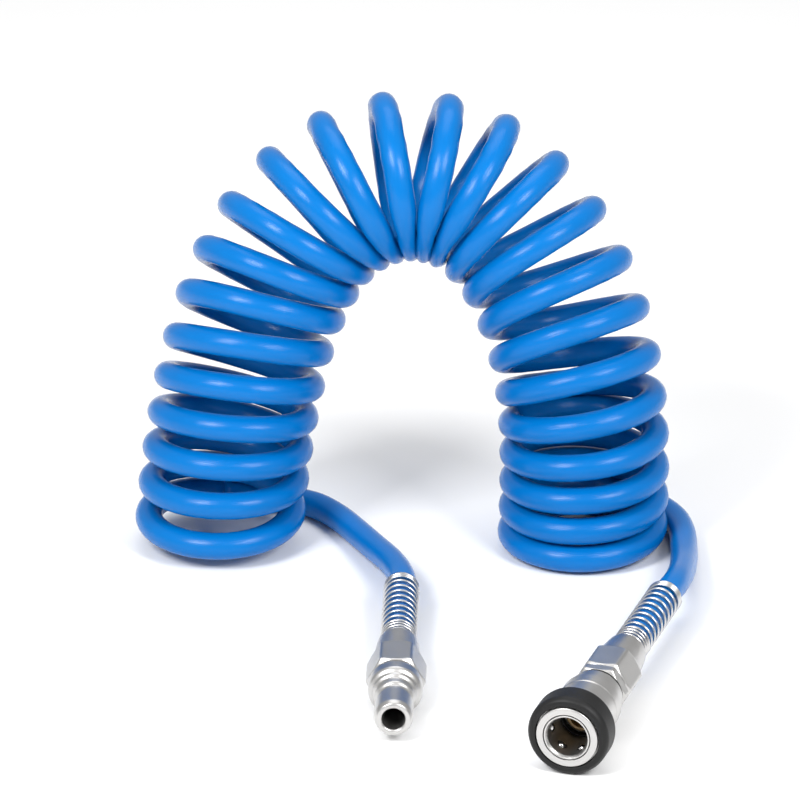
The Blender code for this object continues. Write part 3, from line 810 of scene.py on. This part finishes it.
def makeSleeve():
    shape = couplerShape
    front = -shape["ringLength"] - gap
    flange, outer = shape["flange"], shape["sleeve"]
    flangeEnd = front - shape["flangeLength"]
    end = front - shape["sleeveLength"]
    outline = [
        (flange, front), (flange, flangeEnd), (outer, flangeEnd, 0.1),
        (outer, flangeEnd - 4.0, 0.3), (outer - 0.35, flangeEnd - 4.4, 0.3),
        (outer - 0.35, end + 4.6, 0.3), (outer, end + 4.2, 0.3), (outer, end, 0.5),
        (shape["sleeveBore"], end, 0.1), (shape["sleeveBore"], -shape["landEnd"]),
        (shape["land"], -shape["landEnd"]), (shape["land"], -shape["ballPlane"], 0.1),
        (shape["recess"], -shape["taperStart"], 0.1), (shape["recess"], front, 0.1)]
    turnPiece("coupler_sleeve", outline, couplerPlace, "sleeve", nickel)

    bumper, wall = shape["bumper"], front + gap
    lipTop = flangeEnd - gap
    lipEnd = lipTop - shape["lip"]
    opening = shape["ringOuter"] + 2 * gap
    outline = [
        (bumper - 1.9, -gap, 1.0), (bumper, -gap - 1.4, 1.0), (bumper, lipEnd + 0.9, 0.5),
        (bumper - 0.9, lipEnd, 0.4), (outer + 2 * gap, lipEnd), (outer + 2 * gap, lipTop),
        (flange + 2 * gap, lipTop), (flange + 2 * gap, wall, 0.1), (opening, wall, 0.1),
        (opening, -gap, 0.3)]
    turnPiece("coupler_bumper", outline, couplerPlace, "sleeve", rubber)


def makeValve():
    shape = couplerShape
    rim, front, head = shape["poppetRim"], -shape["poppetFront"], -shape["headFront"]
    headEnd = head - shape["headLength"]
    bossEnd = headEnd - shape["bossLength"]
    outline = [
        (rim, front, 0.3), (rim, head), (shape["poppetHead"], head), (shape["poppetHead"], headEnd),
        (shape["boss"], headEnd), (shape["boss"], bossEnd), (0, bossEnd), (0, head + 1.2),
        (shape["poppetBore"], head + 1.2), (shape["poppetBore"], front, 0.2)]
    mesh = drill(latheMesh("valve_poppet", outline), 1.6, front - 3.0, 4, 2.4, shape["poppetHead"])
    setPiece("valve_poppet", mesh, couplerPlace, "valve", brass)
    top = -shape["lipBack"] - gap
    seal = [(shape["valveSeal"], top), (shape["valveSeal"], top - shape["valveSealLength"]),
            (rim + 2 * gap, top - shape["valveSealLength"]), (rim + 2 * gap, top)]
    turnPiece("valve_seal", seal, couplerPlace, "valve", rubber)


def makeAdapter():
    shape = couplerShape
    hexFront = shape["length"] + 2 * gap + shape["gasket"]
    threadStart = -hexFront - shape["adapterHex"]
    threadEnd = threadStart - joint["threadLength"]
    frontThread = shape["chamber"] - 2 * gap
    flats, corners = shape["adapterFlats"], shape["adapterCorners"]
    outline = [
        (frontThread, -shape["adapterFront"]), (frontThread, -hexFront, 0.1),
        (flats - 0.4, -hexFront, 0.1), (corners + 0.5, -hexFront - 0.9),
        (corners + 0.5, threadStart + 0.3), (flats, threadStart, 0.1),
        *threadTurns(threadStart, threadEnd), *barbedStem(-threadEnd),
        (joint["stemBore"], -shape["adapterBoreEnd"]),
        (shape["adapterBore"], -shape["adapterBoreEnd"]),
        (shape["adapterBore"], -shape["adapterFront"])]
    turnPiece("coupler_adapter", outline, couplerPlace, "coupler_half", nickel,
              flats)
    top = -shape["length"] - gap
    ring = [(shape["rear"] - 0.8, top), (shape["rear"] - 0.8, top - shape["gasket"]),
            (frontThread + 2 * gap, top - shape["gasket"]), (frontThread + 2 * gap, top)]
    turnPiece("adapter_gasket", ring, couplerPlace, "coupler_half", rubber)
    nutEnd = makeNut("coupler_cap_nut", threadStart - gap, couplerPlace, "coupler_half")
    makeGuard("coupler_spring_guard", nutEnd, couplerPlace, "coupler_half")


def makeInnerSprings():
    # each is wound at its rest length, between its start and its fixed end
    shape = couplerShape
    axis = tuple((behindFront(couplerPlace, 1) - behindFront(couplerPlace, 0)).normalized())
    body, turns = "coupler_half", 5.0
    headEnd = shape["headFront"] + shape["headLength"]
    sleeveRadius = (shape["neck"] + shape["sleeveBore"]) / 4
    valveRadius = (shape["boss"] + shape["adapterBore"]) / 4
    # start, end, middle radius, wire, joint and its travel
    springs = {
        "sleeve_spring": (shape["landEnd"], shape["neckEnd"], sleeveRadius, 0.7,
                          "sleeve_slide", 3.4),
        "valve_spring": (headEnd, shape["adapterBoreEnd"], valveRadius, 0.6, "valve_slide", 2.8),
    }
    for node, (start, end, radius, wire, slide, travel) in springs.items():
        top, length = -start - gap - wire / 2, end - start - 2 * gap
        pitch = (length - wire) / turns
        spring = windSpring(node, [(turns, pitch)], top, radius, wire, couplerPlace, body)
        anchor = tuple(behindFront(couplerPlace, end - gap) * mm)
        (length - travel) / length
        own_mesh(spring)


makePlug()
print("plug turned")
makeCouplerBody()
makeBalls()
makeSleeve()
makeValve()
makeAdapter()
makeInnerSprings()
print("coupler turned")

# the frame's own pieces that still show, inside the fittings
for node in ("hose_grip_plug", "hose_grip_coupler"):
    for slot in bpy.data.objects[node].material_slots:
        slot.material = blueHose


# light and floor
studio = {
    "keyLeft": {"azimuth": -38, "elevation": 42, "distance": 0.9, "size": 0.30, "watts": 7},
    "keyRight": {"azimuth": 42, "elevation": 38, "distance": 0.9, "size": 0.30, "watts": 5.5},
    "top": {"azimuth": 180, "elevation": 70, "distance": 1.1, "size": 0.8, "watts": 4},
    "skyStrength": 0.52,
    "floorSize": 6.0,
}


def lightStudio():
    middle = Vector((55, -40, 50)) * mm
    for name in ("keyLeft", "keyRight", "top"):
        lamp = studio[name]
        light = bpy.data.lights.new(name, "AREA")
        light.shape = "SQUARE"
        light.size = lamp["size"]
        light.energy = lamp["watts"]
        holder = bpy.data.objects.new(name, light)
        away = direction(lamp["azimuth"], lamp["elevation"])
        holder.location = middle + away * lamp["distance"]
        holder.rotation_euler = (-away).to_track_quat("-Z", "Y").to_euler()
        scene.collection.objects.link(holder)
    world = bpy.data.worlds.new("studioSky")
    world.use_nodes = True
    world.node_tree.nodes["Background"].inputs["Color"].default_value = (1, 1, 1, 1)
    world.node_tree.nodes["Background"].inputs["Strength"].default_value = studio["skyStrength"]
    scene.world = world


def layFloor():
    mesh = bpy.data.meshes.new("floor")
    shape = bmesh.new()
    bmesh.ops.create_grid(shape, x_segments=1, y_segments=1, size=studio["floorSize"] / 2)
    shape.to_mesh(mesh)
    shape.free()
    finish = Finish("paleFloor", roughness=0.9, specular_ior_level=0.1)
    grain = finish.noise(5.0, 2.0)
    finish.wear(base_color=finish.colourBetween(grain, (0.86, 0.86, 0.86), (0.88, 0.88, 0.88)))
    mesh.materials.append(finish.material)
    floor = bpy.data.objects.new("floor", mesh)
    scene.collection.objects.link(floor)


lightStudio()
layFloor()
print("studio lit")
